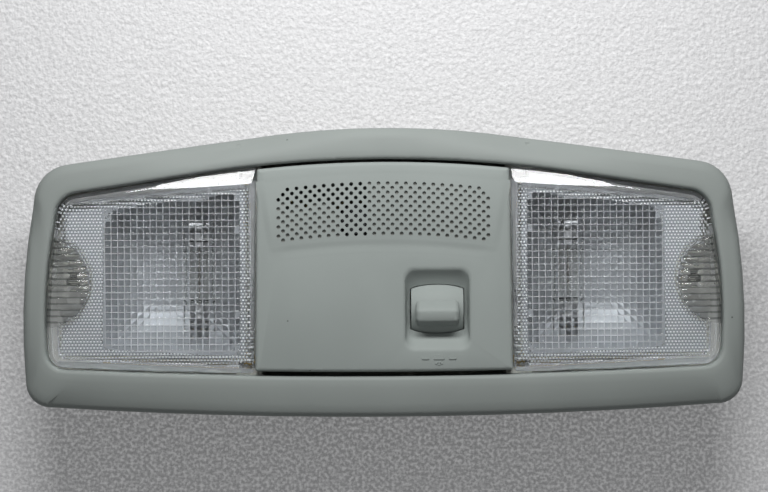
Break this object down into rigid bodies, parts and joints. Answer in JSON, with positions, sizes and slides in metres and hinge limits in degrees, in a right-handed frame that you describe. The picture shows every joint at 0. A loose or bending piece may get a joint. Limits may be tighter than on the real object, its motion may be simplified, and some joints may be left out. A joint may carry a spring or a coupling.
{
  "type": "overhead car interior light",
  "caption": "Overhead car map lamp: arched bezel, hinged push lenses that switch their bulbs, perforated centre panel, door-light rocker and a rear body with bulbs, switches and clips.",
  "frame": {"origin": "on the plane of the tips of the feet, at the middle of the lamp's width and height", "axes": "+X along the lamp to the right as a passenger faces it, +Y towards the arched edge, +Z out of the face"},
  "size_m": [0.2304, 0.092, 0.0403],
  "materials": {
    "trim_plastic": "fine grained grey moulded plastic",
    "body_plastic": "pale moulded plastic",
    "clear_lens": "clear moulded plastic with a patterned back",
    "silvered_plastic": "silvered plastic",
    "bulb_glass": "clear glass",
    "plated_steel": "nickel plated",
    "filament": "drawn wire",
    "contact_brass": "stamped strip",
    "switch_plastic": "white moulded plastic",
    "black_plastic": "black moulded plastic",
    "black_rubber": "soft moulded rubber",
    "screw_steel": "zinc plated",
    "spring_steel": "bent spring strip"
  },
  "bodies": {
    "housing": {"bezel": "trim_plastic", "centre_panel": "trim_plastic", "rear_housing": "body_plastic", "left_reflector": "silvered_plastic", "right_reflector": "silvered_plastic", "left_bulb_glass": "bulb_glass", "right_bulb_glass": "bulb_glass", "left_bulb_caps": "plated_steel", "right_bulb_caps": "plated_steel", "left_bulb_filament": "filament", "right_bulb_filament": "filament", "left_contact_upper": "contact_brass", "right_contact_upper": "contact_brass", "left_contact_lower": "contact_brass", "right_contact_lower": "contact_brass", "left_push_switch": "switch_plastic", "right_push_switch": "switch_plastic", "door_switch_base": "switch_plastic", "supply_bus_bar": "contact_brass", "ground_bus_bar": "contact_brass", "door_bus_bar": "contact_brass", "left_lamp_bus_bar": "contact_brass", "right_lamp_bus_bar": "contact_brass", "microphone_bus_bars": "contact_brass", "microphone": "plated_steel", "microphone_boot": "black_rubber", "microphone_holder": "body_plastic", "housing_screws": "screw_steel", "panel_screws": "screw_steel", "left_upper_clip": "spring_steel", "right_upper_clip": "spring_steel", "left_lower_clip": "spring_steel", "right_lower_clip": "spring_steel"},
    "left_lens": {"left_lens": "clear_lens"},
    "right_lens": {"right_lens": "clear_lens"},
    "left_plunger": {"left_plunger": "black_plastic"},
    "right_plunger": {"right_plunger": "black_plastic"},
    "door_knob": {"door_switch_knob": "trim_plastic"},
    "door_slider": {"door_switch_slider": "black_plastic"}
  },
  "joints": [
    {"name": "left_lens_press", "type": "hinge", "parent": "housing", "child": "left_lens", "pos_m": [-0.044, 0, 0.0275], "axis": [0, -1, 0], "range_deg": [0, 2.1], "stiffness_Nm_per_rad": 1.8, "springref_deg": -1.72},
    {"name": "right_lens_press", "type": "hinge", "parent": "housing", "child": "right_lens", "pos_m": [0.044, 0, 0.0275], "axis": [0, 1, 0], "range_deg": [0, 2.1], "stiffness_Nm_per_rad": 1.8, "springref_deg": -1.72},
    {"name": "left_plunger_slide", "type": "slide", "parent": "housing", "child": "left_plunger", "axis": [0, 0, -1], "range_m": [0, 0.00205]},
    {"name": "right_plunger_slide", "type": "slide", "parent": "housing", "child": "right_plunger", "axis": [0, 0, -1], "range_m": [0, 0.00205]},
    {"name": "door_rocker", "type": "hinge", "parent": "housing", "child": "door_knob", "pos_m": [0.017, -0.0117, 0.027], "axis": [-1, 0, 0], "range_deg": [0, 18]},
    {"name": "door_slide", "type": "slide", "parent": "housing", "child": "door_slider", "axis": [0, -1, 0], "range_m": [0, 0.00292]}
  ],
  "couplings": [
    {"joint": "left_plunger_slide", "follows": "left_lens_press", "m_per_rad": 0.055},
    {"joint": "right_plunger_slide", "follows": "right_lens_press", "m_per_rad": 0.055},
    {"joint": "door_slide", "follows": "door_rocker", "m_per_rad": 0.00926}
  ]
}
